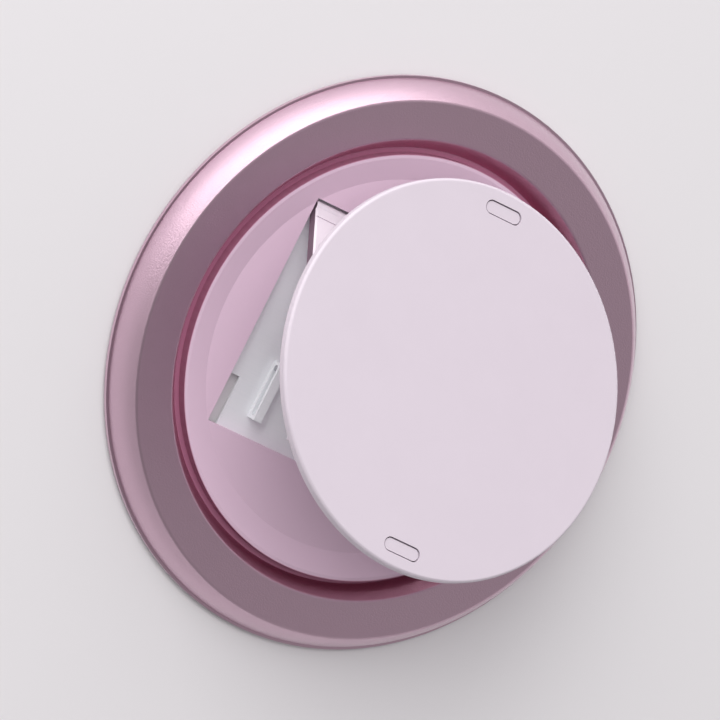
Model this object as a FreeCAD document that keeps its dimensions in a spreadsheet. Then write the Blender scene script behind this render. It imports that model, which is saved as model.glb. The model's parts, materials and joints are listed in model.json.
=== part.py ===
import FreeCAD, Part
import os
import Sketcher

# Round magnetic phone grip, opened. Millimetres, +Z out of the face that meets the phone, origin at the
# middle of that face, X along the hinge axes, +Y towards the wide arm's hinge.

doc = FreeCAD.newDocument("PhoneGrip")

# Driving sizes, in millimetres and degrees.
SIZES = (
    # Base ring: outside, bevel, flat top and the conical throat round the turntable
    ("ring_radius", 28.0),
    ("ring_height", 3.55),
    ("ring_lip_height", 0.4),
    ("ring_lip_width", 0.25),
    ("bevel_width", 1.55),
    ("bevel_round", 7.0),
    ("ring_top_width", 3.7),
    ("throat_slope", 1.2),
    ("ring_edge_round", 0.3),
    # Back of the ring: steel cover in a rebate, and the rubber pad on it
    ("skirt_width", 0.75),
    ("cover_thickness", 0.3),
    ("cover_clearance", 0.05),
    ("cover_gap", 0.4),
    ("pad_thickness", 0.3),
    ("pad_margin", 0.4),
    # Magnets and the iron ring over them, in a channel of the base ring
    ("channel_wall", 0.97),
    ("channel_clearance", 0.08),
    ("magnet_width", 2.7),
    ("magnet_thickness", 1.1),
    ("magnet_gap", 0.4),
    ("magnet_count", 18),
    ("shunt_thickness", 0.3),
    # Turntable: flange under the ring's lip, rim and dish
    ("seat_wall", 0.47),
    ("swivel_clearance", 0.25),
    ("axial_clearance", 0.08),
    ("flange_thickness", 0.55),
    ("washer_thickness", 0.2),
    ("washer_width", 1.0),
    ("rim_clearance", 0.5),
    ("rim_land", 0.35),
    ("rim_rise", 0.75),
    ("dish_slope_width", 2.25),
    ("pin_cover", 0.24),
    # Floor sheet under the turntable's window, and its screws
    ("floor_rise", 0.3),
    ("floor_thickness", 0.25),
    ("floor_margin", 0.4),
    ("screw_margin", 0.9),
    ("screw_count", 4),
    ("screw_radius", 0.5),
    ("screw_head_radius", 0.9),
    ("screw_head_height", 0.2),
    ("screw_grip", 0.9),
    # Hinge line, crossing and ends of the two arms
    ("axis_rise", 0.75),
    ("open_angle", 40.0),
    ("hinge_margin", 7.2),
    ("pivot_offset", 1.0),
    ("head_margin", 5.0),
    ("slide_margin", 0.4),
    ("side_margin", 4.3),
    ("arm_thickness", 1.0),
    ("knuckle_radius", 0.6),
    ("arm_chamfer", 0.15),
    ("crease_distance", 1.3),
    ("crease_width", 0.2),
    ("crease_depth", 0.12),
    ("rail_width", 3.55),
    ("neck_step", 1.5),
    ("neck_length", 5.0),
    ("end_bar", 0.75),
    ("shoulder_step", 1.45),
    ("arm_clearance", 0.3),
    ("window_clearance", 0.25),
    # Pins and the slotted ears that they run in
    ("pin_radius", 0.28),
    ("pin_clearance", 0.03),
    ("pin_seat", 1.3),
    ("pin_inset", 0.05),
    ("pivot_bite", 1.2),
    ("pivot_inset", 0.4),
    ("ear_thickness", 0.9),
    ("ear_gap", 0.25),
    ("ear_wall", 0.3),
    ("slide_slack", 0.3),
    # Disc: cap, its slots, the carrier plate and the snap tabs that fill the slots
    ("disc_margin", 1.8),
    ("cap_thickness", 1.1),
    ("cap_edge_round", 0.3),
    ("carrier_margin", 1.1),
    ("carrier_clearance", 0.1),
    ("carrier_thickness", 0.65),
    ("slot_margin", 2.0),
    ("slot_length", 4.2),
    ("slot_width", 1.4),
    ("tab_clearance", 0.12),
    ("tab_recess", 0.1),
)

# Places worked out from the driving sizes.
LAYOUT = (
    # Radii, from the ring's outside inwards
    ("bevel_foot_radius", "Sizes.ring_radius - Sizes.ring_lip_width"),
    ("bevel_top_radius", "Layout.bevel_foot_radius - Sizes.bevel_width"),
    ("throat_radius", "Layout.bevel_top_radius - Sizes.ring_top_width"),
    ("lip_radius", "Layout.throat_radius - Sizes.throat_slope"),
    ("rim_radius", "Layout.lip_radius - Sizes.rim_clearance"),
    ("dish_edge_radius", "Layout.rim_radius - Sizes.rim_land"),
    ("dish_radius", "Layout.dish_edge_radius - Sizes.dish_slope_width"),
    ("floor_radius", "Layout.rim_radius - Sizes.floor_margin"),
    ("screw_circle", "Layout.dish_radius - Sizes.screw_margin"),
    ("rebate_radius", "Sizes.ring_radius - Sizes.skirt_width"),
    ("cover_radius", "Layout.rebate_radius - Sizes.cover_clearance"),
    ("cover_inner_radius", "Layout.rim_radius + Sizes.cover_gap"),
    ("channel_outside", "Layout.rebate_radius - Sizes.channel_wall"),
    ("magnet_outer_radius", "Layout.channel_outside - Sizes.channel_clearance"),
    ("magnet_inner_radius", "Layout.magnet_outer_radius - Sizes.magnet_width"),
    ("channel_inside", "Layout.magnet_inner_radius - Sizes.channel_clearance"),
    ("seat_radius", "Layout.channel_inside - Sizes.seat_wall"),
    ("flange_radius", "Layout.seat_radius - Sizes.swivel_clearance"),
    # Heights, from the phone outwards
    ("ring_lip_top", "Sizes.pad_thickness + Sizes.ring_lip_height"),
    ("cover_top", "Sizes.pad_thickness + Sizes.cover_thickness"),
    ("shunt_bottom", "Layout.cover_top + Sizes.magnet_thickness"),
    ("channel_top", "Layout.shunt_bottom + Sizes.shunt_thickness + Sizes.channel_clearance"),
    ("flange_bottom", "Layout.cover_top + Sizes.washer_thickness + Sizes.axial_clearance"),
    ("flange_top", "Layout.flange_bottom + Sizes.flange_thickness"),
    ("lip_bottom", "Layout.flange_top + Sizes.axial_clearance"),
    ("floor_top", "Sizes.floor_rise + Sizes.floor_thickness"),
    ("axis_height", "Layout.floor_top + Sizes.axis_rise"),
    ("pin_hole", "Sizes.pin_radius + Sizes.pin_clearance"),
    ("dish_height", "Layout.axis_height + Layout.pin_hole + Sizes.pin_cover"),
    ("rim_height", "Layout.dish_height + Sizes.rim_rise"),
    # Folded grip: hinge, head and slide axes from the middle, and the links between the axes
    ("hinge_y", "Layout.dish_radius - Sizes.hinge_margin"),
    ("head_offset", "Layout.hinge_y - Sizes.head_margin"),
    ("slide_offset", "Layout.hinge_y - Sizes.slide_margin"),
    ("lower_link", "Layout.hinge_y - Sizes.pivot_offset"),
    ("inner_upper_link", "Layout.head_offset - Sizes.pivot_offset"),
    ("outer_upper_link", "Layout.slide_offset + Sizes.pivot_offset"),
    # Wide arm, measured from its hinge
    ("outer_half_width", "Layout.dish_radius - Sizes.side_margin"),
    ("outer_length", "Layout.lower_link + Layout.outer_upper_link"),
    ("neck_half", "Layout.outer_half_width - Sizes.neck_step"),
    ("neck_start", "Layout.outer_length - Sizes.neck_length"),
    ("opening_half", "Layout.outer_half_width - Sizes.rail_width"),
    ("opening_start", "Sizes.head_margin - Sizes.knuckle_radius - Sizes.arm_clearance"),
    ("opening_end", "Layout.outer_length - Sizes.end_bar"),
    # Turntable's window, which the folded arms lie in
    ("window_half", "Layout.outer_half_width + Sizes.window_clearance"),
    ("window_high", "Layout.hinge_y + Sizes.knuckle_radius + Sizes.window_clearance"),
    ("window_low", "-Layout.slide_offset - Sizes.knuckle_radius - Sizes.window_clearance"),
    # Crossing, foot, head and slide axes in the opened pose
    ("pivot_y", "Layout.hinge_y - Layout.lower_link * cos(Sizes.open_angle)"),
    ("pivot_z", "Layout.axis_height + Layout.lower_link * sin(Sizes.open_angle)"),
    ("foot_y", "Layout.hinge_y - 2 * Layout.lower_link * cos(Sizes.open_angle)"),
    ("foot_folded_y", "Layout.hinge_y - 2 * Layout.lower_link"),
    ("head_y", "Layout.pivot_y + Layout.inner_upper_link * cos(Sizes.open_angle)"),
    ("head_z", "Layout.pivot_z + Layout.inner_upper_link * sin(Sizes.open_angle)"),
    ("slide_y", "Layout.pivot_y - Layout.outer_upper_link * cos(Sizes.open_angle)"),
    ("slide_z", "Layout.pivot_z + Layout.outer_upper_link * sin(Sizes.open_angle)"),
    ("disc_tilt", "atan((Layout.slide_z - Layout.head_z) / (Layout.head_y - Layout.slide_y))"),
    # Slotted ears: beside the narrow arm's two ends, and beside the wide arm's neck
    ("track_end", "Layout.pin_hole + Sizes.ear_wall"),
    ("ear_inside", "Layout.foot_half + Sizes.ear_gap"),
    ("ear_outside", "Layout.ear_inside + Sizes.ear_thickness"),
    ("track_inside", "Layout.neck_half + Sizes.ear_gap"),
    ("track_outside", "Layout.track_inside + Sizes.ear_thickness"),
    # Narrow arm, measured from the crossing
    ("inner_half", "Layout.opening_half - Sizes.arm_clearance"),
    ("foot_half", "Layout.inner_half - Sizes.shoulder_step"),
    ("shoulder_high", "Layout.inner_upper_link - 2 * Sizes.knuckle_radius - Sizes.arm_clearance"),
    ("foot_travel", "Layout.foot_y - Layout.foot_folded_y"),
    ("shoulder_low", "Layout.lower_link - Layout.foot_travel - Layout.track_end - Sizes.arm_clearance"),
    # Disc, measured from the head axis
    ("disc_radius", "Layout.rim_radius - Sizes.disc_margin"),
    ("carrier_radius", "Layout.disc_radius - Sizes.carrier_margin"),
    ("slot_offset", "Layout.disc_radius - Sizes.slot_margin"),
    ("carrier_rise", "Sizes.knuckle_radius + Sizes.carrier_clearance"),
    ("carrier_top", "Layout.carrier_rise + Sizes.carrier_thickness"),
    ("cap_top", "Layout.carrier_top + Sizes.cap_thickness"),
    ("track_folded", "-Layout.head_offset - Layout.slide_offset"),
    ("track_open", "Layout.track_folded * cos(Sizes.open_angle) / cos(Layout.disc_tilt)"),
    ("track_low", "-Layout.pin_hole - Sizes.slide_slack"),
)


def fill_sheet(name, rows, as_text):
    """Put one named row per size into a sheet: the name beside its value."""
    sheet = doc.addObject("Spreadsheet::Sheet", name)
    for row, (alias, value) in enumerate(rows, 1):
        sheet.set(f"A{row}", alias)
        sheet.setAlias(f"B{row}", alias)
    for row, (alias, value) in enumerate(rows, 1):
        sheet.set(f"B{row}", as_text(value))
    doc.recompute()
    return sheet


sizes = fill_sheet("Sizes", SIZES, str)
layout = fill_sheet("Layout", LAYOUT, lambda formula: "=" + formula.replace("Layout.", ""))


def value_of(expression):
    """Present value of an expression over the two sheets."""
    result = sizes.evalExpression(expression)
    return float(getattr(result, "Value", result))


def new_body(label):
    """Empty body that becomes one labelled sub-part."""
    body = doc.addObject("PartDesign::Body", label)
    body.Label = label
    return body


def new_sketch(body, plane, offset="0"):
    """Sketch on one of the body's own origin planes, moved along its normal."""
    sketch = body.newObject("Sketcher::SketchObject", "Sketch")
    origin_plane = next(f for f in body.Origin.OriginFeatures if f.Role == plane)
    sketch.AttachmentSupport = [(origin_plane, "")]
    sketch.MapMode = "FlatFace"
    sketch.setExpression("AttachmentOffset.Base.z", offset)
    return sketch


def pin_point(sketch, geometry, vertex, x, y):
    """Tie a sketch point to two expressions, or to an axis where one of them is zero."""
    for kind, axis, expression in (("DistanceX", -2, x), ("DistanceY", -1, y)):
        value = value_of(expression)
        if expression == "0":
            sketch.addConstraint(Sketcher.Constraint("PointOnObject", geometry, vertex, axis))
        else:
            index = sketch.addConstraint(Sketcher.Constraint(kind, -1, 1, geometry, vertex, value))
            sketch.setExpression(f"Constraints[{index}]", expression)


def draw_polygon(sketch, corners, bulges=()):
    """Closed outline through corners given as expressions.

    Its edges are straight, apart from those in bulges: pairs of an edge's number and the radius of the
    clockwise arc that stands for it.
    """
    points = [FreeCAD.Vector(value_of(x), value_of(y), 0) for x, y in corners]
    radii = dict(bulges)
    first = sketch.GeometryCount
    count = len(corners)
    for i in range(count):
        start, end = points[i], points[(i + 1) % count]
        if i in radii:
            radius = value_of(radii[i])
            half = (end - start) * 0.5
            outwards = FreeCAD.Vector(-half.y, half.x, 0).normalize()
            rise = radius - (radius ** 2 - half.Length ** 2) ** 0.5
            edge = Part.Arc(start, start + half + outwards * rise, end)
        else:
            edge = Part.LineSegment(start, end)
        sketch.addGeometry(edge, False)
    # A sketch keeps every arc anticlockwise, so a clockwise edge begins at its second point.
    begin = [2 if i in radii else 1 for i in range(count)]
    for i in range(count):
        after = (i + 1) % count
        sketch.addConstraint(
            Sketcher.Constraint("Coincident", first + i, 3 - begin[i], first + after, begin[after]))
    for i, radius in radii.items():
        index = sketch.addConstraint(Sketcher.Constraint("Radius", first + i, value_of(radius)))
        sketch.setExpression(f"Constraints[{index}]", radius)
    for i, (x, y) in enumerate(corners):
        pin_point(sketch, first + i, begin[i], x, y)


def draw_rectangle(sketch, x_low, x_high, y_low, y_high):
    """Upright rectangle between two pairs of expressions."""
    draw_polygon(sketch, ((x_low, y_low), (x_high, y_low), (x_high, y_high), (x_low, y_high)))


def draw_circle(sketch, x, y, radius):
    """Circle with its centre and radius tied to expressions."""
    centre = FreeCAD.Vector(value_of(x), value_of(y), 0)
    circle = Part.Circle(centre, FreeCAD.Vector(0, 0, 1), value_of(radius))
    index = sketch.addGeometry(circle, False)
    size = sketch.addConstraint(Sketcher.Constraint("Radius", index, value_of(radius)))
    sketch.setExpression(f"Constraints[{size}]", radius)
    pin_point(sketch, index, 3, x, y)


def draw_obround(sketch, x_low, x_high, y, radius):
    """Slot along the sketch's x: two half circles joined by their tangents."""
    low, high = value_of(x_low), value_of(x_high)
    level, r = value_of(y), value_of(radius)
    up = FreeCAD.Vector(0, 0, 1)
    right = Part.Circle(FreeCAD.Vector(high, level, 0), up, r)
    left = Part.Circle(FreeCAD.Vector(low, level, 0), up, r)
    quarter = 1.5707963267948966
    below = (FreeCAD.Vector(low, level - r, 0), FreeCAD.Vector(high, level - r, 0))
    above = (FreeCAD.Vector(high, level + r, 0), FreeCAD.Vector(low, level + r, 0))
    first = sketch.GeometryCount
    sketch.addGeometry(Part.LineSegment(*below), False)
    sketch.addGeometry(Part.ArcOfCircle(right, -quarter, quarter), False)
    sketch.addGeometry(Part.LineSegment(*above), False)
    sketch.addGeometry(Part.ArcOfCircle(left, quarter, 3 * quarter), False)
    for i in range(4):
        sketch.addConstraint(Sketcher.Constraint("Tangent", first + i, 2, first + (i + 1) % 4, 1))
    sketch.addConstraint(Sketcher.Constraint("Equal", first + 1, first + 3))
    size = sketch.addConstraint(Sketcher.Constraint("Radius", first + 1, r))
    sketch.setExpression(f"Constraints[{size}]", radius)
    pin_point(sketch, first + 1, 3, x_high, y)
    pin_point(sketch, first + 3, 3, x_low, y)


def revolve(body, profile, bulges=()):
    """Turn a profile of (radius, height) corners about Z."""
    sketch = new_sketch(body, "XZ_Plane")
    draw_polygon(sketch, profile, bulges)
    feature = body.newObject("PartDesign::Revolution", "Revolution")
    feature.Profile = sketch
    feature.ReferenceAxis = (sketch, ["V_Axis"])
    feature.Angle = 360.0
    doc.recompute()
    return feature


def pad(body, plane, offset, length, draw, *outline):
    """Add a drawn outline, from its offset along the plane's normal."""
    sketch = new_sketch(body, plane, offset)
    draw(sketch, *outline)
    feature = body.newObject("PartDesign::Pad", "Pad")
    feature.Profile = sketch
    feature.setExpression("Length", length)
    doc.recompute()
    return feature


def pocket(body, plane, offset, length, draw, *outline):
    """Cut a drawn outline, from its offset back against the plane's normal."""
    before = body.Shape.Volume
    sketch = new_sketch(body, plane, offset)
    draw(sketch, *outline)
    feature = body.newObject("PartDesign::Pocket", "Pocket")
    feature.Profile = sketch
    feature.setExpression("Length", length)
    doc.recompute()
    if not body.Shape.Volume < before:
        raise RuntimeError(f"{body.Label}: a pocket cuts nothing")
    return feature


def round_edges(body, radius, kind, belongs):
    """Fillet or chamfer the edges for which the test holds, by a size of the sheet."""
    names = [f"Edge{i}" for i, edge in enumerate(body.Shape.Edges, 1) if belongs(edge)]
    if not names:
        raise RuntimeError(f"{body.Label}: no edge to finish")
    base = body.Tip
    feature = body.newObject("PartDesign::" + kind, kind)
    feature.Base = (base, names)
    feature.setExpression("Radius" if kind == "Fillet" else "Size", radius)
    doc.recompute()
    return feature


def on_circle(edge, radius, height):
    """Whether an edge is a circle about Z of this radius at this height."""
    same = isinstance(edge.Curve, Part.Circle) and abs(edge.Curve.Radius - value_of(radius)) < 1e-4
    return same and abs(edge.Curve.Center.z - value_of(height)) < 1e-4


def tip(body, y, z, angle, sense):
    """Carry a body to its axis in the opened pose and turn it about X, +1 towards +Z."""
    body.Placement = FreeCAD.Placement(
        FreeCAD.Vector(0, value_of(y), value_of(z)),
        FreeCAD.Rotation(FreeCAD.Vector(sense, 0, 0), value_of(angle)))
    body.setExpression("Placement.Base.y", y)
    body.setExpression("Placement.Base.z", z)
    body.setExpression("Placement.Rotation.Angle", angle)


def annulus(label, inner, outer, bottom, top):
    """Flat ring about Z."""
    body = new_body(label)
    revolve(body, ((inner, bottom), (outer, bottom), (outer, top), (inner, top)))
    return body


def cross_pin(name, start, length, y, z):
    """Round pin along X."""
    pin = doc.addObject("Part::Cylinder", name)
    pin.Placement = FreeCAD.Placement(FreeCAD.Vector(), FreeCAD.Rotation(FreeCAD.Vector(0, 1, 0), 90))
    pin.setExpression("Radius", "Sizes.pin_radius")
    pin.setExpression("Height", length)
    pin.setExpression("Placement.Base.x", start)
    pin.setExpression("Placement.Base.y", y)
    pin.setExpression("Placement.Base.z", z)
    return pin


def group(label, members):
    """Like pieces kept as separate solids under one label."""
    compound = doc.addObject("Part::Compound", label)
    compound.Links = members
    compound.Label = label
    return compound


def base_ring():
    """Turned ring: lip, convex bevel, flat top, conical throat, turntable seat and magnet channel."""
    body = new_body("base_ring")
    profile = (
        ("Layout.bevel_top_radius", "Sizes.ring_height"),
        ("Layout.bevel_foot_radius", "Layout.ring_lip_top"),
        ("Sizes.ring_radius", "Layout.ring_lip_top"),
        ("Sizes.ring_radius", "Sizes.pad_thickness"),
        ("Layout.rebate_radius", "Sizes.pad_thickness"),
        ("Layout.rebate_radius", "Layout.cover_top"),
        ("Layout.channel_outside", "Layout.cover_top"),
        ("Layout.channel_outside", "Layout.channel_top"),
        ("Layout.channel_inside", "Layout.channel_top"),
        ("Layout.channel_inside", "Layout.cover_top"),
        ("Layout.seat_radius", "Layout.cover_top"),
        ("Layout.seat_radius", "Layout.lip_bottom"),
        ("Layout.lip_radius", "Layout.lip_bottom"),
        ("Layout.throat_radius", "Sizes.ring_height"))
    revolve(body, profile, bulges=((0, "Sizes.bevel_round"),))
    crests = (("Layout.throat_radius", "Sizes.ring_height"), ("Layout.bevel_top_radius", "Sizes.ring_height"))
    round_edges(body, "Sizes.ring_edge_round", "Fillet",
                lambda edge: any(on_circle(edge, r, z) for r, z in crests))
    return body


def magnet_array():
    """Ring of arc magnets: a tube split by radial gaps."""
    tube = []
    for name, radius in (("magnet_outside", "Layout.magnet_outer_radius"),
                         ("magnet_inside", "Layout.magnet_inner_radius")):
        cylinder = doc.addObject("Part::Cylinder", name)
        cylinder.setExpression("Radius", radius)
        cylinder.setExpression("Height", "Sizes.magnet_thickness")
        cylinder.setExpression("Placement.Base.z", "Layout.cover_top")
        tube.append(cylinder)
    ring = doc.addObject("Part::Cut", "magnet_tube")
    ring.Base, ring.Tool = tube
    gaps = []
    for i in range(int(value_of("Sizes.magnet_count"))):
        turn = f"{i} * 360 / Sizes.magnet_count"
        gap = doc.addObject("Part::Box", "magnet_gap")
        gap.Placement.Rotation = FreeCAD.Rotation(FreeCAD.Vector(0, 0, 1), value_of(turn))
        gap.setExpression("Length", "Sizes.ring_radius")
        gap.setExpression("Width", "Sizes.magnet_gap")
        gap.setExpression("Height", "Sizes.magnet_thickness")
        gap.setExpression("Placement.Rotation.Angle", turn)
        gap.setExpression("Placement.Base.x", f"Sizes.magnet_gap / 2 * sin({turn})")
        gap.setExpression("Placement.Base.y", f"-Sizes.magnet_gap / 2 * cos({turn})")
        gap.setExpression("Placement.Base.z", "Layout.cover_top")
        gaps.append(gap)
    spokes = doc.addObject("Part::MultiFuse", "magnet_gaps")
    spokes.Shapes = gaps
    array = doc.addObject("Part::Cut", "magnet_array")
    array.Base, array.Tool = ring, spokes
    array.Label = "magnet_array"
    return array


def screw_places():
    """Centres of the floor screws, as pairs of expressions."""
    count = int(value_of("Sizes.screw_count"))
    turns = [f"({i} * 360 / Sizes.screw_count)" for i in range(count)]
    return [tuple(f"Layout.screw_circle * {function}{turn}" for function in ("cos", "sin")) for turn in turns]


def swivel_plate():
    """Dished turntable with a flange, the arms' window and pockets for the hinge pin."""
    body = new_body("swivel_plate")
    revolve(body, (
        ("0", "Layout.floor_top"),
        ("Layout.rim_radius", "Layout.floor_top"),
        ("Layout.rim_radius", "Layout.flange_bottom"),
        ("Layout.flange_radius", "Layout.flange_bottom"),
        ("Layout.flange_radius", "Layout.flange_top"),
        ("Layout.rim_radius", "Layout.flange_top"),
        ("Layout.rim_radius", "Layout.rim_height"),
        ("Layout.dish_edge_radius", "Layout.rim_height"),
        ("Layout.dish_radius", "Layout.dish_height"),
        ("0", "Layout.dish_height")))
    pocket(body, "XY_Plane", "Layout.rim_height", "Layout.rim_height", draw_rectangle,
           "-Layout.window_half", "Layout.window_half", "Layout.window_low", "Layout.window_high")
    pocket_end = "Layout.window_half + Sizes.pin_seat"
    pocket_length = f"2 * ({pocket_end})"
    pocket(body, "YZ_Plane", pocket_end, pocket_length, draw_circle,
           "Layout.hinge_y", "Layout.axis_height", "Layout.pin_hole")
    pocket(body, "YZ_Plane", pocket_end, pocket_length, draw_rectangle,
           "Layout.hinge_y - Layout.pin_hole", "Layout.hinge_y + Layout.pin_hole",
           "Sizes.floor_rise", "Layout.axis_height")
    for x, y in screw_places():
        pocket(body, "XY_Plane", "Layout.floor_top + Sizes.screw_grip",
               "Sizes.screw_grip + Sizes.floor_thickness", draw_circle,
               x, y, "Sizes.screw_radius + Sizes.pin_clearance")
    return body


def floor_plate():
    """Steel sheet under the window, with upright ears whose slots guide the narrow arm's foot."""
    body = new_body("floor_plate")
    pad(body, "XY_Plane", "Sizes.floor_rise", "Sizes.floor_thickness", draw_circle,
        "0", "0", "Layout.floor_radius")
    for start in ("Layout.ear_inside", "-Layout.ear_outside"):
        pad(body, "YZ_Plane", start, "Sizes.ear_thickness", draw_rectangle,
            "Layout.foot_folded_y - Layout.track_end", "Layout.foot_y + Layout.track_end",
            "Layout.floor_top - Sizes.floor_thickness / 2", "Layout.axis_height + Layout.track_end")
    pocket(body, "YZ_Plane", "Layout.ear_outside", "2 * Layout.ear_outside", draw_obround,
           "Layout.foot_folded_y", "Layout.foot_y", "Layout.axis_height", "Layout.pin_hole")
    # Clearance holes for the disc's track ears when the grip is folded
    high = "Layout.head_offset + Layout.track_open + Layout.track_end"
    low = "Layout.head_offset + Layout.track_folded - Layout.track_end"
    spread = ("Layout.track_inside - Sizes.window_clearance", "Layout.track_outside + Sizes.window_clearance")
    for x_low, x_high in (spread, tuple(f"-({edge})" for edge in reversed(spread))):
        pocket(body, "XY_Plane", "Layout.floor_top", "Sizes.floor_thickness", draw_rectangle,
               x_low, x_high, f"{low} - Sizes.window_clearance", f"{high} + Sizes.window_clearance")
    for x, y in screw_places():
        pocket(body, "XY_Plane", "Layout.floor_top", "Sizes.floor_thickness", draw_circle,
               x, y, "Sizes.screw_radius + Sizes.pin_clearance")
    return body


def floor_screws():
    """Low-headed screws that hold the floor sheet, driven from behind."""
    screws = []
    for x, y in screw_places():
        pieces = []
        for name, radius, bottom, height in (
                ("screw_head", "Sizes.screw_head_radius", "Sizes.floor_rise - Sizes.screw_head_height",
                 "Sizes.screw_head_height"),
                ("screw_shank", "Sizes.screw_radius", "Sizes.floor_rise",
                 "Sizes.floor_thickness + Sizes.screw_grip - Sizes.pin_inset")):
            piece = doc.addObject("Part::Cylinder", name)
            piece.setExpression("Radius", radius)
            piece.setExpression("Height", height)
            piece.setExpression("Placement.Base.x", x)
            piece.setExpression("Placement.Base.y", y)
            piece.setExpression("Placement.Base.z", bottom)
            pieces.append(piece)
        screw = doc.addObject("Part::Fuse", "screw")
        screw.Base, screw.Tool = pieces
        screws.append(screw)
    return group("floor_screws", screws)


def outer_arm():
    """Wide frame-shaped arm, lying along -Y from its hinge before it is tipped up."""
    body = new_body("outer_arm")
    half, neck = "Layout.outer_half_width", "Layout.neck_half"
    pad(body, "XY_Plane", "-Sizes.arm_thickness / 2", "Sizes.arm_thickness", draw_polygon, (
        (half, "0"), (half, "-Layout.neck_start"),
        (neck, "-Layout.neck_start"), (neck, "-Layout.outer_length"),
        ("-" + neck, "-Layout.outer_length"), ("-" + neck, "-Layout.neck_start"),
        ("-" + half, "-Layout.neck_start"), ("-" + half, "0")))
    top, side = value_of("Sizes.arm_thickness / 2"), value_of(half)

    def long_top_edge(edge):
        ends = [vertex.Point for vertex in edge.Vertexes]
        return all(abs(p.z - top) < 1e-6 and abs(abs(p.x) - side) < 1e-6 for p in ends)

    round_edges(body, "Sizes.arm_chamfer", "Chamfer", long_top_edge)
    pad(body, "YZ_Plane", "-" + half, "2 * " + half, draw_circle, "0", "0", "Sizes.knuckle_radius")
    pad(body, "YZ_Plane", "-" + neck, "2 * " + neck, draw_circle,
        "-Layout.outer_length", "0", "Sizes.knuckle_radius")
    pocket(body, "XY_Plane", "Sizes.arm_thickness", "2 * Sizes.arm_thickness", draw_rectangle,
           "-Layout.opening_half", "Layout.opening_half", "-Layout.opening_end", "-Layout.opening_start")
    for y in ("0", "-Layout.lower_link", "-Layout.outer_length"):
        pocket(body, "YZ_Plane", half, "2 * " + half, draw_circle, y, "0", "Layout.pin_hole")
    pocket(body, "XY_Plane", "Sizes.arm_thickness", "Sizes.arm_thickness / 2 + Sizes.crease_depth",
           draw_rectangle, "-" + half, half,
           "-Sizes.crease_distance - Sizes.crease_width", "-Sizes.crease_distance")
    tip(body, "Layout.hinge_y", "Layout.axis_height", "Sizes.open_angle", -1)
    return body


def inner_arm():
    """Narrow arm through the wide one, lying along Y about the crossing before it is tipped up."""
    body = new_body("inner_arm")
    foot, half = "Layout.foot_half", "Layout.inner_half"
    right = (
        (foot, "-Layout.lower_link"), (foot, "-Layout.shoulder_low"), (half, "-Layout.shoulder_low"),
        (half, "Layout.shoulder_high"), (foot, "Layout.shoulder_high"), (foot, "Layout.inner_upper_link"))
    left = tuple(("-" + x, y) for x, y in reversed(right))
    pad(body, "XY_Plane", "-Sizes.arm_thickness / 2", "Sizes.arm_thickness", draw_polygon, right + left)
    for y in ("-Layout.lower_link", "Layout.inner_upper_link"):
        pad(body, "YZ_Plane", "-" + foot, "2 * " + foot, draw_circle, y, "0", "Sizes.knuckle_radius")
    for y in ("-Layout.lower_link", "0", "Layout.inner_upper_link"):
        pocket(body, "YZ_Plane", half, "2 * " + half, draw_circle, y, "0", "Layout.pin_hole")
    tip(body, "Layout.pivot_y", "Layout.pivot_z", "Sizes.open_angle", 1)
    return body


def disc_carrier():
    """Plate under the cap: hinge ears, slotted track ears and the snap tabs that fill the cap's slots."""
    body = new_body("disc_carrier")
    pad(body, "XY_Plane", "Layout.carrier_rise", "Sizes.carrier_thickness", draw_circle,
        "0", "-Layout.head_offset", "Layout.carrier_radius")
    for start in ("Layout.ear_inside", "-Layout.ear_outside"):
        pad(body, "YZ_Plane", start, "Sizes.ear_thickness", draw_rectangle,
            "-Sizes.knuckle_radius", "Sizes.knuckle_radius", "0", "Layout.carrier_top")
        pad(body, "YZ_Plane", start, "Sizes.ear_thickness", draw_circle, "0", "0", "Sizes.knuckle_radius")
    pocket(body, "YZ_Plane", "Layout.ear_outside", "2 * Layout.ear_outside", draw_circle,
           "0", "0", "Layout.pin_hole")
    for start in ("Layout.track_inside", "-Layout.track_outside"):
        pad(body, "YZ_Plane", start, "Sizes.ear_thickness", draw_rectangle,
            "Layout.track_folded - Layout.track_end", "Layout.track_open + Layout.track_end",
            "Layout.track_low - Sizes.ear_wall", "Layout.carrier_top")
        pocket(body, "YZ_Plane", start + " + Sizes.ear_thickness", "Sizes.ear_thickness", draw_rectangle,
               "Layout.track_folded - Layout.pin_hole", "Layout.track_open + Layout.pin_hole",
               "Layout.track_low", "Layout.pin_hole")
    straight = "(Sizes.slot_length - Sizes.slot_width) / 2"
    for place in ("Layout.slot_offset - Layout.head_offset", "-Layout.slot_offset - Layout.head_offset"):
        pad(body, "XY_Plane", "Layout.carrier_top", "Sizes.cap_thickness - Sizes.tab_recess", draw_obround,
            "-" + straight, straight, place, "Sizes.slot_width / 2 - Sizes.tab_clearance")
    tip(body, "Layout.head_y", "Layout.head_z", "Layout.disc_tilt", -1)
    return body


def disc_cap():
    """Plain round cap with two obround slots near its edge."""
    body = new_body("disc_cap")
    pad(body, "XY_Plane", "Layout.carrier_top", "Sizes.cap_thickness", draw_circle,
        "0", "-Layout.head_offset", "Layout.disc_radius")
    round_edges(body, "Sizes.cap_edge_round", "Fillet",
                lambda edge: any(on_circle(edge, "Layout.disc_radius", z)
                                 for z in ("Layout.carrier_top", "Layout.cap_top")))
    straight = "(Sizes.slot_length - Sizes.slot_width) / 2"
    for place in ("Layout.slot_offset - Layout.head_offset", "-Layout.slot_offset - Layout.head_offset"):
        pocket(body, "XY_Plane", "Layout.cap_top", "Sizes.cap_thickness", draw_obround,
               "-" + straight, straight, place, "Sizes.slot_width / 2")
    tip(body, "Layout.head_y", "Layout.head_z", "Layout.disc_tilt", -1)
    return body


def centred_pin(label, half_length, y, z):
    """Cross pin of one half length to each side of the middle."""
    pin = cross_pin(label, f"-({half_length})", f"2 * ({half_length})", y, z)
    pin.Label = label
    return pin


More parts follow.
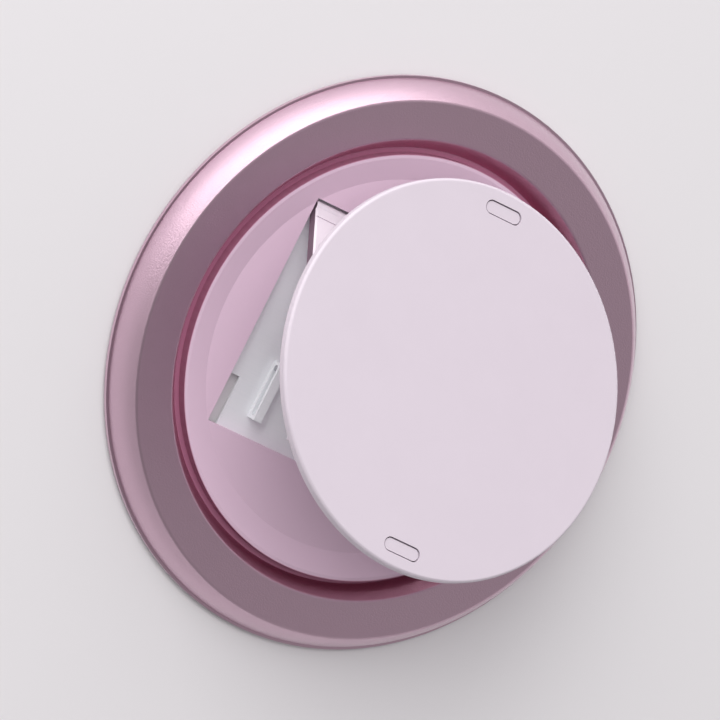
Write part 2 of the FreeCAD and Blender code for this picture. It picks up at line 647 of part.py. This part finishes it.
def pivot_pins():
    """Two stub pins at the crossing, from the wide arm's rails into the narrow arm."""
    inside = "Layout.inner_half - Sizes.pivot_bite"
    outside = "Layout.outer_half_width - Sizes.pivot_inset"
    length = f"{outside} - ({inside})"
    stubs = [cross_pin("stub", start, length, "Layout.pivot_y", "Layout.pivot_z")
             for start in (inside, f"-({outside})")]
    return group("pivot_pins", stubs)


subparts = [
    base_ring(),
    annulus("back_cover", "Layout.cover_inner_radius", "Layout.cover_radius",
            "Sizes.pad_thickness", "Layout.cover_top"),
    annulus("grip_pad", "Layout.cover_inner_radius + Sizes.pad_margin",
            "Layout.cover_radius - Sizes.pad_margin", "0", "Sizes.pad_thickness"),
    magnet_array(),
    annulus("shunt_ring", "Layout.magnet_inner_radius", "Layout.magnet_outer_radius",
            "Layout.shunt_bottom", "Layout.shunt_bottom + Sizes.shunt_thickness"),
    annulus("friction_washer", "Layout.flange_radius - Sizes.washer_width", "Layout.flange_radius",
            "Layout.cover_top", "Layout.cover_top + Sizes.washer_thickness"),
    swivel_plate(),
    floor_plate(),
    floor_screws(),
    centred_pin("base_hinge_pin", "Layout.window_half + Sizes.pin_seat - Sizes.pin_inset",
                "Layout.hinge_y", "Layout.axis_height"),
    outer_arm(),
    pivot_pins(),
    centred_pin("slide_pin", "Layout.track_outside - Sizes.pin_inset", "Layout.slide_y", "Layout.slide_z"),
    inner_arm(),
    centred_pin("foot_pin", "Layout.ear_outside - Sizes.pin_inset", "Layout.foot_y", "Layout.axis_height"),
    disc_carrier(),
    disc_cap(),
    centred_pin("disc_hinge_pin", "Layout.ear_outside - Sizes.pin_inset", "Layout.head_y", "Layout.head_z"),
]

doc.recompute()
for item in doc.Objects:
    if "Invalid" in item.State or "Error" in item.State:
        raise RuntimeError(f"{item.Label} failed: {item.State}")
for part in subparts:
    if part.Shape.isNull() or not part.Shape.isValid():
        raise RuntimeError(f"{part.Label} has no valid shape")

os.makedirs("parts", exist_ok=True)
for part in subparts:
    part.Shape.exportStep(f"parts/{part.Label}.step")
    box = part.Shape.optimalBoundingBox(False)
    print(f"{part.Label}: {len(part.Shape.Solids)} solids, {part.Shape.Volume:.2f} mm3, "
          f"z {box.ZMin:.2f} to {box.ZMax:.2f}")
print("disc tilt", round(value_of("Layout.disc_tilt"), 4))
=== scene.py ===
"""Folding phone grip: a bevelled magnetic ring, a turntable, two crossed arms and a finger disc."""
import json

import bpy
import numpy as np
from mathutils import Matrix, Vector

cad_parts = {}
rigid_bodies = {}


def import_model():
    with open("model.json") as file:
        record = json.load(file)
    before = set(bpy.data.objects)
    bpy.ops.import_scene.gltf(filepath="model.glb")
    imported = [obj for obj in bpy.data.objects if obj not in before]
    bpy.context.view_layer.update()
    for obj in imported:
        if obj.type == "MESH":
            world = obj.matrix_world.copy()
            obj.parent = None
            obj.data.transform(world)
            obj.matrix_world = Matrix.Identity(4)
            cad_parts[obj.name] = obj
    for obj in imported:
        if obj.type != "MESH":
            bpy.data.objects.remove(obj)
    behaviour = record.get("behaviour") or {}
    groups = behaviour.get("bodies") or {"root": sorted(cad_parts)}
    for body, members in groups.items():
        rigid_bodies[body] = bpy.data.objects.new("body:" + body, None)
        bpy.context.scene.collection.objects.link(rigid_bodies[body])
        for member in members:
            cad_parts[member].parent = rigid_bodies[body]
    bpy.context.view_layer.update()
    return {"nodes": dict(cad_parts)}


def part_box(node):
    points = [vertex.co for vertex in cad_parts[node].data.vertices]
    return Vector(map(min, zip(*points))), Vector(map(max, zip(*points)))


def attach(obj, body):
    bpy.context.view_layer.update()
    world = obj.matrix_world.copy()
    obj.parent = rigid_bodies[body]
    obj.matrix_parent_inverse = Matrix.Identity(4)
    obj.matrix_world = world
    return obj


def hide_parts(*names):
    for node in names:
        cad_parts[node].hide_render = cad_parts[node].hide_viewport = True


for leftover in list(bpy.data.objects):
    bpy.data.objects.remove(leftover)

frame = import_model()


# Grip pad. A thin ring of silicone rubber, moulded and then bonded to the back of the base, which keeps
# the grip from sliding.
MM = 0.001


def linear(hex_colour):
    """Linear RGBA of an sRGB hex value, by the sRGB curve."""
    channels = np.array([int(hex_colour[i:i + 2], 16) for i in (1, 3, 5)]) / 255.0
    curve = np.where(channels <= 0.04045, channels / 12.92, ((channels + 0.055) / 1.055) ** 2.4)
    return (*curve.tolist(), 1.0)


def add_node(tree, kind, settings=None, links=None):
    """Add a node, set its sockets or properties, and link sockets from (node, output) pairs.

    Sockets go by their identifiers, which are the names except where a node has several of one name.
    """
    node = tree.nodes.new(kind)
    sockets = {socket.identifier: socket for socket in node.inputs}
    for name, value in (settings or {}).items():
        if name in sockets:
            sockets[name].default_value = value
        else:
            setattr(node, name, value)
    for name, (source, output) in (links or {}).items():
        outlet = next(socket for socket in source.outputs if socket.identifier == output)
        tree.links.new(outlet, sockets[name])
    return node


def grain(tree, place, size, stretch=(1, 1, 1)):
    """Pattern whose grains have a size in metres, longer along an axis where its stretch is below 1."""
    spread = add_node(tree, "ShaderNodeMapping", {"Scale": tuple(factor / size for factor in stretch)},
                      {"Vector": (place, "Object")})
    return add_node(tree, "ShaderNodeTexNoise", {"Scale": 1.0, "Detail": 3.0, "Roughness": 0.65},
                    {"Vector": (spread, "Vector")})


def make_finish(name, pattern, settings):
    """Material of one principled shader; the pattern adds its nodes and returns the shader's links."""
    material = bpy.data.materials.new(name)
    material.use_nodes = True
    tree = material.node_tree
    tree.nodes.clear()
    links = pattern(tree, add_node(tree, "ShaderNodeTexCoord"))
    shader = add_node(tree, "ShaderNodeBsdfPrincipled", settings, links)
    add_node(tree, "ShaderNodeOutputMaterial", links={"Surface": (shader, "BSDF")})
    return material


def dress(material, *names):
    """Give solids of the frame their finish."""
    for name in names:
        frame["nodes"][name].material_slots[0].material = material


def etched_rubber(tree, place):
    """The mould's etched face, 0.3 mm grains, and a faint mottle 3 mm across."""
    mottle, etching = grain(tree, place, 3 * MM), grain(tree, place, 0.3 * MM)
    colour = add_node(tree, "ShaderNodeMix",
                      {"data_type": "RGBA", "A_Color": linear("#AE8A9C"), "B_Color": linear("#C09CAE")},
                      {"Factor_Float": (mottle, "Fac")})
    face = add_node(tree, "ShaderNodeBump", {"Strength": 0.4, "Distance": 0.03 * MM},
                    {"Height": (etching, "Fac")})
    return {"Base Color": (colour, "Result_Color"), "Normal": (face, "Normal")}


# Rubber from an etched mould has no gloss and a soft, slightly uneven mauve.
dress(make_finish("moulded_silicone_rubber", etched_rubber, {"Roughness": 0.75, "IOR": 1.43}), "grip_pad")


# Base ring. One turned piece of aluminium, bead-blasted and anodised pink: a thin lip at the bottom,
# a convex bevel, a flat top and a conical throat that runs down to the turntable.
def colour_by_radius(tree, place, edge_radius, inner_hex, outer_hex):
    """Colour that changes at a distance from the Z axis, within 0.1 mm."""
    blend = 0.1 * MM
    parts = add_node(tree, "ShaderNodeSeparateXYZ", links={"Vector": (place, "Object")})
    across = add_node(tree, "ShaderNodeCombineXYZ", links={"X": (parts, "X"), "Y": (parts, "Y")})
    radius = add_node(tree, "ShaderNodeVectorMath", {"operation": "LENGTH"}, {"Vector": (across, "Vector")})
    outside = add_node(tree, "ShaderNodeMapRange",
                       {"From Min": edge_radius - blend / 2, "From Max": edge_radius + blend / 2},
                       {"Value": (radius, "Value")})
    return add_node(tree, "ShaderNodeMix",
                    {"data_type": "RGBA", "A_Color": linear(inner_hex), "B_Color": linear(outer_hex)},
                    {"Factor_Float": (outside, "Result")})


def blasted_dye_and_throat_shade(tree, place):
    """Blasted pits and the pink dye, with painted shade that makes the throat a deeper rose than the faces
    outside it.

    The pits are 0.16 mm across, coarser than the real 0.05 mm so that they show.
    """
    throat_radius = 22.45 * MM
    # Painted shade: inside this radius the throat is a deeper rose, standing in for the shade of the groove.
    dye_and_throat_shade = colour_by_radius(tree, place, throat_radius, "#D596AD", "#D9B6C8")
    pits = add_node(tree, "ShaderNodeBump", {"Strength": 0.5, "Distance": 0.06 * MM},
                    {"Height": (grain(tree, place, 0.16 * MM), "Fac")})
    return {"Base Color": (dye_and_throat_shade, "Result_Color"), "Normal": (pits, "Normal"), "Coat Normal": (pits, "Normal")}


# The blasted metal scatters light into a broad sheen that the dye tints pink, and the clear oxide on top
# adds a thin white gloss with the sparkle of the pits.
anodised_settings = {"Metallic": 1.0, "Roughness": 0.42,
                     "Coat Weight": 1.0, "Coat Roughness": 0.3, "Coat IOR": 1.65}
dress(make_finish("blasted_anodised_aluminium", blasted_dye_and_throat_shade, anodised_settings), "base_ring")


# Back cover and shunt ring. Flat rings blanked from steel sheet: the cover closes the base from behind and
# holds the turntable in, and the shunt carries the magnets' field.
def rolled_steel(tree, place):
    """Rolling lines along X, 0.1 mm apart, a little brighter and darker."""
    lines = grain(tree, place, 0.1 * MM, stretch=(0.03, 1, 1))
    colour = add_node(tree, "ShaderNodeMix",
                      {"data_type": "RGBA", "A_Color": linear("#C6C6CA"), "B_Color": linear("#DEDEE2")},
                      {"Factor_Float": (lines, "Fac")})
    face = add_node(tree, "ShaderNodeBump", {"Strength": 0.1, "Distance": 0.01 * MM}, {"Height": (lines, "Fac")})
    return {"Base Color": (colour, "Result_Color"), "Normal": (face, "Normal")}


# Rolled sheet gives a dull metal sheen, drawn out across the rolling lines.
dress(make_finish("rolled_steel_sheet", rolled_steel, {"Metallic": 1.0, "Roughness": 0.42}),
      "back_cover", "shunt_ring")


# Magnets. Eighteen arcs of sintered magnet metal, ground to shape, nickel plated and laid in the ring's
# channel, which hold the grip in place.
def nickel_plating(tree, place):
    """Plating that follows the sintered metal's 0.4 mm grains."""
    sinter = grain(tree, place, 0.4 * MM)
    colour = add_node(tree, "ShaderNodeMix",
                      {"data_type": "RGBA", "A_Color": linear("#C0BFBC"), "B_Color": linear("#D2D1CF")},
                      {"Factor_Float": (sinter, "Fac")})
    face = add_node(tree, "ShaderNodeBump", {"Strength": 0.2, "Distance": 0.01 * MM}, {"Height": (sinter, "Fac")})
    return {"Base Color": (colour, "Result_Color"), "Normal": (face, "Normal")}


# Nickel is warm grey and shiny, with the sintered grains just showing under it.
dress(make_finish("nickel_plated_magnet", nickel_plating, {"Metallic": 1.0, "Roughness": 0.22}), "magnet_array")


# Slip washer. A thin ring moulded in undyed acetal and laid loose under the turntable's flange, which lets
# it turn with an even, light drag.
def natural_acetal(tree, place):
    """Faint flow marks of moulding, 2 mm across, and a skin of 0.2 mm grains."""
    flow, skin = grain(tree, place, 2 * MM), grain(tree, place, 0.2 * MM)
    colour = add_node(tree, "ShaderNodeMix",
                      {"data_type": "RGBA", "A_Color": linear("#E0DED7"), "B_Color": linear("#ECEAE5")},
                      {"Factor_Float": (flow, "Fac")})
    face = add_node(tree, "ShaderNodeBump", {"Strength": 0.2, "Distance": 0.01 * MM}, {"Height": (skin, "Fac")})
    return {"Base Color": (colour, "Result_Color"), "Normal": (face, "Normal")}


# Undyed acetal is milky white and slightly waxy.
dress(make_finish("moulded_acetal", natural_acetal, {"Roughness": 0.4, "IOR": 1.48}), "friction_washer")


# Turntable. A dished plate of die-cast zinc in satin lilac paint, with a window for the folded arms.
# Its outer wall turns in the ring's throat, and its deeper rose there is painted shade of the gap.
def dish_paint_and_wall_shade(tree, place):
    """Orange peel of sprayed paint, 0.8 mm waves, and painted shade: a deeper rose on the wall in the gap."""
    wall_radius = 20.75 * MM
    # Painted shade: outside this radius the wall is a deeper rose, standing in for the shade in the gap.
    paint_and_wall_shade = colour_by_radius(tree, place, wall_radius, "#E2C5D8", "#B87592")
    peel = add_node(tree, "ShaderNodeBump", {"Strength": 0.12, "Distance": 0.02 * MM},
                    {"Height": (grain(tree, place, 0.8 * MM), "Fac")})
    return {"Base Color": (paint_and_wall_shade, "Result_Color"), "Normal": (peel, "Normal")}


# Satin paint gives a soft, even lilac with a faint gloss at low angles.
dress(make_finish("satin_painted_zinc", dish_paint_and_wall_shade, {"Roughness": 0.42, "IOR": 1.5}), "swivel_plate")


# Floor plate. Steel sheet, blanked and zinc-plated, which closes the window from behind and whose bent-up
# ears carry the narrow arm's foot.
def zinc_plating(tree, place):
    """Rolling lines that the zinc leaves faintly visible, 0.15 mm apart."""
    lines = grain(tree, place, 0.15 * MM, stretch=(0.03, 1, 1))
    colour = add_node(tree, "ShaderNodeMix",
                      {"data_type": "RGBA", "A_Color": linear("#F2F5F8"), "B_Color": linear("#FAFBFD")},
                      {"Factor_Float": (lines, "Fac")})
    face = add_node(tree, "ShaderNodeBump", {"Strength": 0.1, "Distance": 0.01 * MM}, {"Height": (lines, "Fac")})
    return {"Base Color": (colour, "Result_Color"), "Normal": (face, "Normal")}


# Dull zinc scatters most of the light, so the plate looks pale grey with only a weak metal sheen.
dress(make_finish("zinc_plated_sheet", zinc_plating, {"Metallic": 0.1, "Roughness": 0.5}), "floor_plate")


# Hinge pins. Lengths of drawn steel wire with plain cut ends, pressed into the arms or set loose in the
# casting's pockets and the slots of the track ears.
def drawn_wire(tree, place):
    """Die lines along the pins, 0.05 mm apart."""
    lines = grain(tree, place, 0.05 * MM, stretch=(0.02, 1, 1))
    colour = add_node(tree, "ShaderNodeMix",
                      {"data_type": "RGBA", "A_Color": linear("#BCBCC0"), "B_Color": linear("#CCCCD0")},
                      {"Factor_Float": (lines, "Fac")})
    face = add_node(tree, "ShaderNodeBump", {"Strength": 0.1, "Distance": 0.005 * MM}, {"Height": (lines, "Fac")})
    return {"Base Color": (colour, "Result_Color"), "Normal": (face, "Normal")}


# Drawn wire is bright, with one sharp streak of light along it.
wire_finish = make_finish("drawn_steel_wire", drawn_wire, {"Metallic": 1.0, "Roughness": 0.25})
dress(wire_finish, "base_hinge_pin", "pivot_pins", "slide_pin", "foot_pin", "disc_hinge_pin")


# Floor screws. Four small steel machine screws, turned with a low head and a broached hexagon socket,
# driven into the casting from behind.
screws_low, screws_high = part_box("floor_screws")
shank_radius, head_radius, head_height, head_chamfer = 0.5 * MM, 0.9 * MM, 0.2 * MM, 0.05 * MM
socket_half_width, socket_depth = 0.42 * MM, 0.13 * MM
screw_count, points_in_loop = 4, 48


def socket_screw():
    """Closed lathe form about Z: loops of points at equal angles run from the shank's tip to the socket's floor.

    Each loop has one height and a radius by angle. It is constant on the turned faces. In the socket it is
    the distance from a hexagon's centre to its side: half width / cos of the angle from the nearest flat's
    middle. A point on the axis closes each end.
    """
    flat_angle = np.pi / 3
    angle = np.linspace(0, 2 * np.pi, points_in_loop, endpoint=False)
    hexagon = socket_half_width / np.cos((angle + flat_angle / 2) % flat_angle - flat_angle / 2)
    turned = np.ones(points_in_loop)
    radii = np.array((shank_radius * turned, shank_radius * turned, head_radius * turned, head_radius * turned,
                      (head_radius - head_chamfer) * turned, hexagon, hexagon))
    tip, face = screws_high.z, screws_low.z
    seat, socket_floor = face + head_height, face + socket_depth
    heights = np.array((tip, seat, seat, face + head_chamfer, face, face, socket_floor))
    loops = np.stack((radii * np.cos(angle), radii * np.sin(angle),
                      np.repeat(heights[:, None], points_in_loop, axis=1)), axis=-1)
    ends = ((0, 0, tip), (0, 0, socket_floor))
    index = np.arange(radii.size).reshape(radii.shape)
    after = np.roll(index, -1, axis=1)
    walls = np.stack((index[:-1], index[1:], after[1:], after[:-1]), axis=-1).reshape(-1, 4)
    tip_fan = np.stack((np.full(points_in_loop, radii.size), index[0], after[0]), axis=-1)
    floor_fan = np.stack((np.full(points_in_loop, radii.size + 1), after[-1], index[-1]), axis=-1)
    return np.vstack((loops.reshape(-1, 3), ends)), walls, np.vstack((tip_fan, floor_fan))


form_points, form_walls, form_fans = socket_screw()
screw_circle = screws_high.x - head_radius
turn = np.arange(screw_count) * 2 * np.pi / screw_count
screw_places = np.stack((screw_circle * np.cos(turn), screw_circle * np.sin(turn), 0 * turn), axis=-1)
screw_points = (form_points + screw_places[:, None, :]).reshape(-1, 3)
first_point = (np.arange(screw_count) * len(form_points))[:, None, None]
screw_faces = [*(form_walls + first_point).reshape(-1, 4).tolist(),
               *(form_fans + first_point).reshape(-1, 3).tolist()]
screw_mesh = bpy.data.meshes.new("socket_screws")
screw_mesh.from_pydata(screw_points.tolist(), [], screw_faces)
screw_mesh.materials.append(wire_finish)
socket_screws = bpy.data.objects.new("socket_screws", screw_mesh)
scene = bpy.context.scene
scene.collection.objects.link(socket_screws)
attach(socket_screws, "turntable")
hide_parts("floor_screws")


# Arms. Two arms stamped from pre-painted steel that cross like scissors: a wide frame hinged at the dish's
# edge and a narrow plate through it.
def paint_and_edge_shade(tree, place):
    """Paint with 0.6 mm waves on the faces, and painted shade in dark plum on the edges, which face along X."""
    edge_facing = 0.9
    parts = add_node(tree, "ShaderNodeSeparateXYZ", links={"Vector": (place, "Normal")})
    sideways = add_node(tree, "ShaderNodeMath", {"operation": "ABSOLUTE"}, {"Value": (parts, "X")})
    # Painted shade: edges facing along X turn dark plum, standing in for the shade beside the arms.
    edge_shade = add_node(tree, "ShaderNodeMapRange", {"From Min": edge_facing, "From Max": 1.0},
                    {"Value": (sideways, "Value")})
    colour = add_node(tree, "ShaderNodeMix",
                      {"data_type": "RGBA", "A_Color": linear("#E9DEE7"), "B_Color": linear("#6E5A67")},
                      {"Factor_Float": (edge_shade, "Result")})
    waves = add_node(tree, "ShaderNodeBump", {"Strength": 0.12, "Distance": 0.02 * MM},
                     {"Height": (grain(tree, place, 0.6 * MM), "Fac")})
    return {"Base Color": (colour, "Result_Color"), "Normal": (waves, "Normal")}


# The satin faces are pale, and the cut edges are darkened with painted shade.
dress(make_finish("satin_painted_steel", paint_and_edge_shade, {"Roughness": 0.4, "IOR": 1.5}), "outer_arm", "inner_arm")


# Finger disc. A moulded cap of matte polycarbonate, snapped on to a carrier plate whose two tabs
# show in the cap's slots.
def spark_eroded(tree, place):
    """The mould's spark-eroded matt face, 0.2 mm grains, and a faint mottle 5 mm across."""
    mottle, erosion = grain(tree, place, 5 * MM), grain(tree, place, 0.2 * MM)
    colour = add_node(tree, "ShaderNodeMix",
                      {"data_type": "RGBA", "A_Color": linear("#CFC4CE"), "B_Color": linear("#D3C8D2")},
                      {"Factor_Float": (mottle, "Fac")})
    face = add_node(tree, "ShaderNodeBump", {"Strength": 0.12, "Distance": 0.02 * MM},
                    {"Height": (erosion, "Fac")})
    return {"Base Color": (colour, "Result_Color"), "Normal": (face, "Normal")}


# The matt mould gives an even, pale lilac that only brightens at low angles.
dress(make_finish("matte_polycarbonate", spark_eroded, {"Roughness": 0.5, "IOR": 1.58}),
      "disc_cap", "disc_carrier")


# Studio: a pale paper floor just under the pad, a soft key lamp at the upper left, a low softbox that lights
# the bevel, and walls that are pale at the horizon and dim overhead.
def paper(tree, place):
    """Faint cloudiness of paper, 60 mm across."""
    colour = add_node(tree, "ShaderNodeMix",
                      {"data_type": "RGBA", "A_Color": linear("#E8E5E7"), "B_Color": linear("#EAE7E9")},
                      {"Factor_Float": (grain(tree, place, 60 * MM), "Fac")})
    return {"Base Color": (colour, "Result_Color")}


floor_half, floor_drop = 2000 * MM, 0.05 * MM
floor_corners = [(x * floor_half, y * floor_half, -floor_drop) for x, y in ((-1, -1), (1, -1), (1, 1), (-1, 1))]
floor_mesh = bpy.data.meshes.new("studio_floor")
floor_mesh.from_pydata(floor_corners, [], [(0, 1, 2, 3)])
floor_mesh.materials.append(make_finish("pale_paper", paper, {"Roughness": 0.9}))
floor = bpy.data.objects.new("studio_floor", floor_mesh)
scene.collection.objects.link(floor)


def softbox(name, direction, distance, width, height, power):
    """Rectangular lamp at a distance along a direction from the object, facing it, in metres and watts."""
    lamp = bpy.data.lights.new(name, "AREA")
    lamp.shape = "RECTANGLE"
    lamp.size = width
    lamp.size_y = height
    lamp.energy = power
    holder = bpy.data.objects.new(name, lamp)
    holder.location = Vector(direction).normalized() * distance
    holder.rotation_euler = (-holder.location).to_track_quat("-Z", "Y").to_euler()
    scene.collection.objects.link(holder)
    return holder


# The key lamp lights without showing in the metal, so that the ring's flat top keeps its colour from
# all sides.
key_lamp = softbox("key_lamp", direction=(-0.5, 0.42, 0.8), distance=0.9, width=0.75, height=0.75, power=6.4)
key_lamp.visible_glossy = False
softbox("bevel_lamp", direction=(-0.62, 0.77, 0.12), distance=0.8, width=1.5, height=0.3, power=5.2)

horizon, overhead, overhead_height = (0.84, 0.83, 0.84, 1), (0.31, 0.30, 0.31, 1), 0.9
bright_side, dim_level, bright_level = (0.35, 0.94, 0.0), 0.5, 1.2
world = bpy.data.worlds.new("studio_walls")
scene.world = world
world.use_nodes = True
sky = world.node_tree
sky.nodes.clear()
aim = add_node(sky, "ShaderNodeTexCoord")
split = add_node(sky, "ShaderNodeSeparateXYZ", links={"Vector": (aim, "Generated")})
walls = add_node(sky, "ShaderNodeValToRGB", links={"Fac": (split, "Z")})
walls.color_ramp.elements[0].color = horizon
walls.color_ramp.elements[1].color = overhead
walls.color_ramp.elements[1].position = overhead_height
side = add_node(sky, "ShaderNodeVectorMath", {"operation": "DOT_PRODUCT", "Vector_001": bright_side},
                {"Vector": (aim, "Generated")})
level = add_node(sky, "ShaderNodeMapRange",
                 {"From Min": -1.0, "From Max": 1.0, "To Min": dim_level, "To Max": bright_level},
                 {"Value": (side, "Value")})
light = add_node(sky, "ShaderNodeBackground", links={"Color": (walls, "Color"), "Strength": (level, "Result")})
add_node(sky, "ShaderNodeOutputWorld", links={"Surface": (light, "Background")})
scene.view_settings.view_transform = "Standard"


# Camera: from the left of the hinge axis, 59 degrees above the floor, turned so that the hinge axis falls
# to the right in the picture, and far enough away that the view is almost parallel.
right = Vector((0.7770, 0.4453, 0.4447)).normalized()
forward = Vector((0.5077, -0.0260, -0.8611)).normalized()
down = forward.cross(right).normalized()
right = down.cross(forward).normalized()
view_width, view_distance = 68.1 * MM, 1300 * MM
aim_right, aim_down = -0.98 * MM, -0.19 * MM
camera_data = bpy.data.cameras.new("camera")
camera_data.sensor_width = 36.0
camera_data.lens = camera_data.sensor_width * view_distance / view_width
camera_data.clip_end = 10.0
camera = bpy.data.objects.new("camera", camera_data)
camera.matrix_world = Matrix((right, -down, -forward)).transposed().to_4x4()
camera.location = aim_right * right + aim_down * down - forward * view_distance
scene.collection.objects.link(camera)
scene.camera = camera
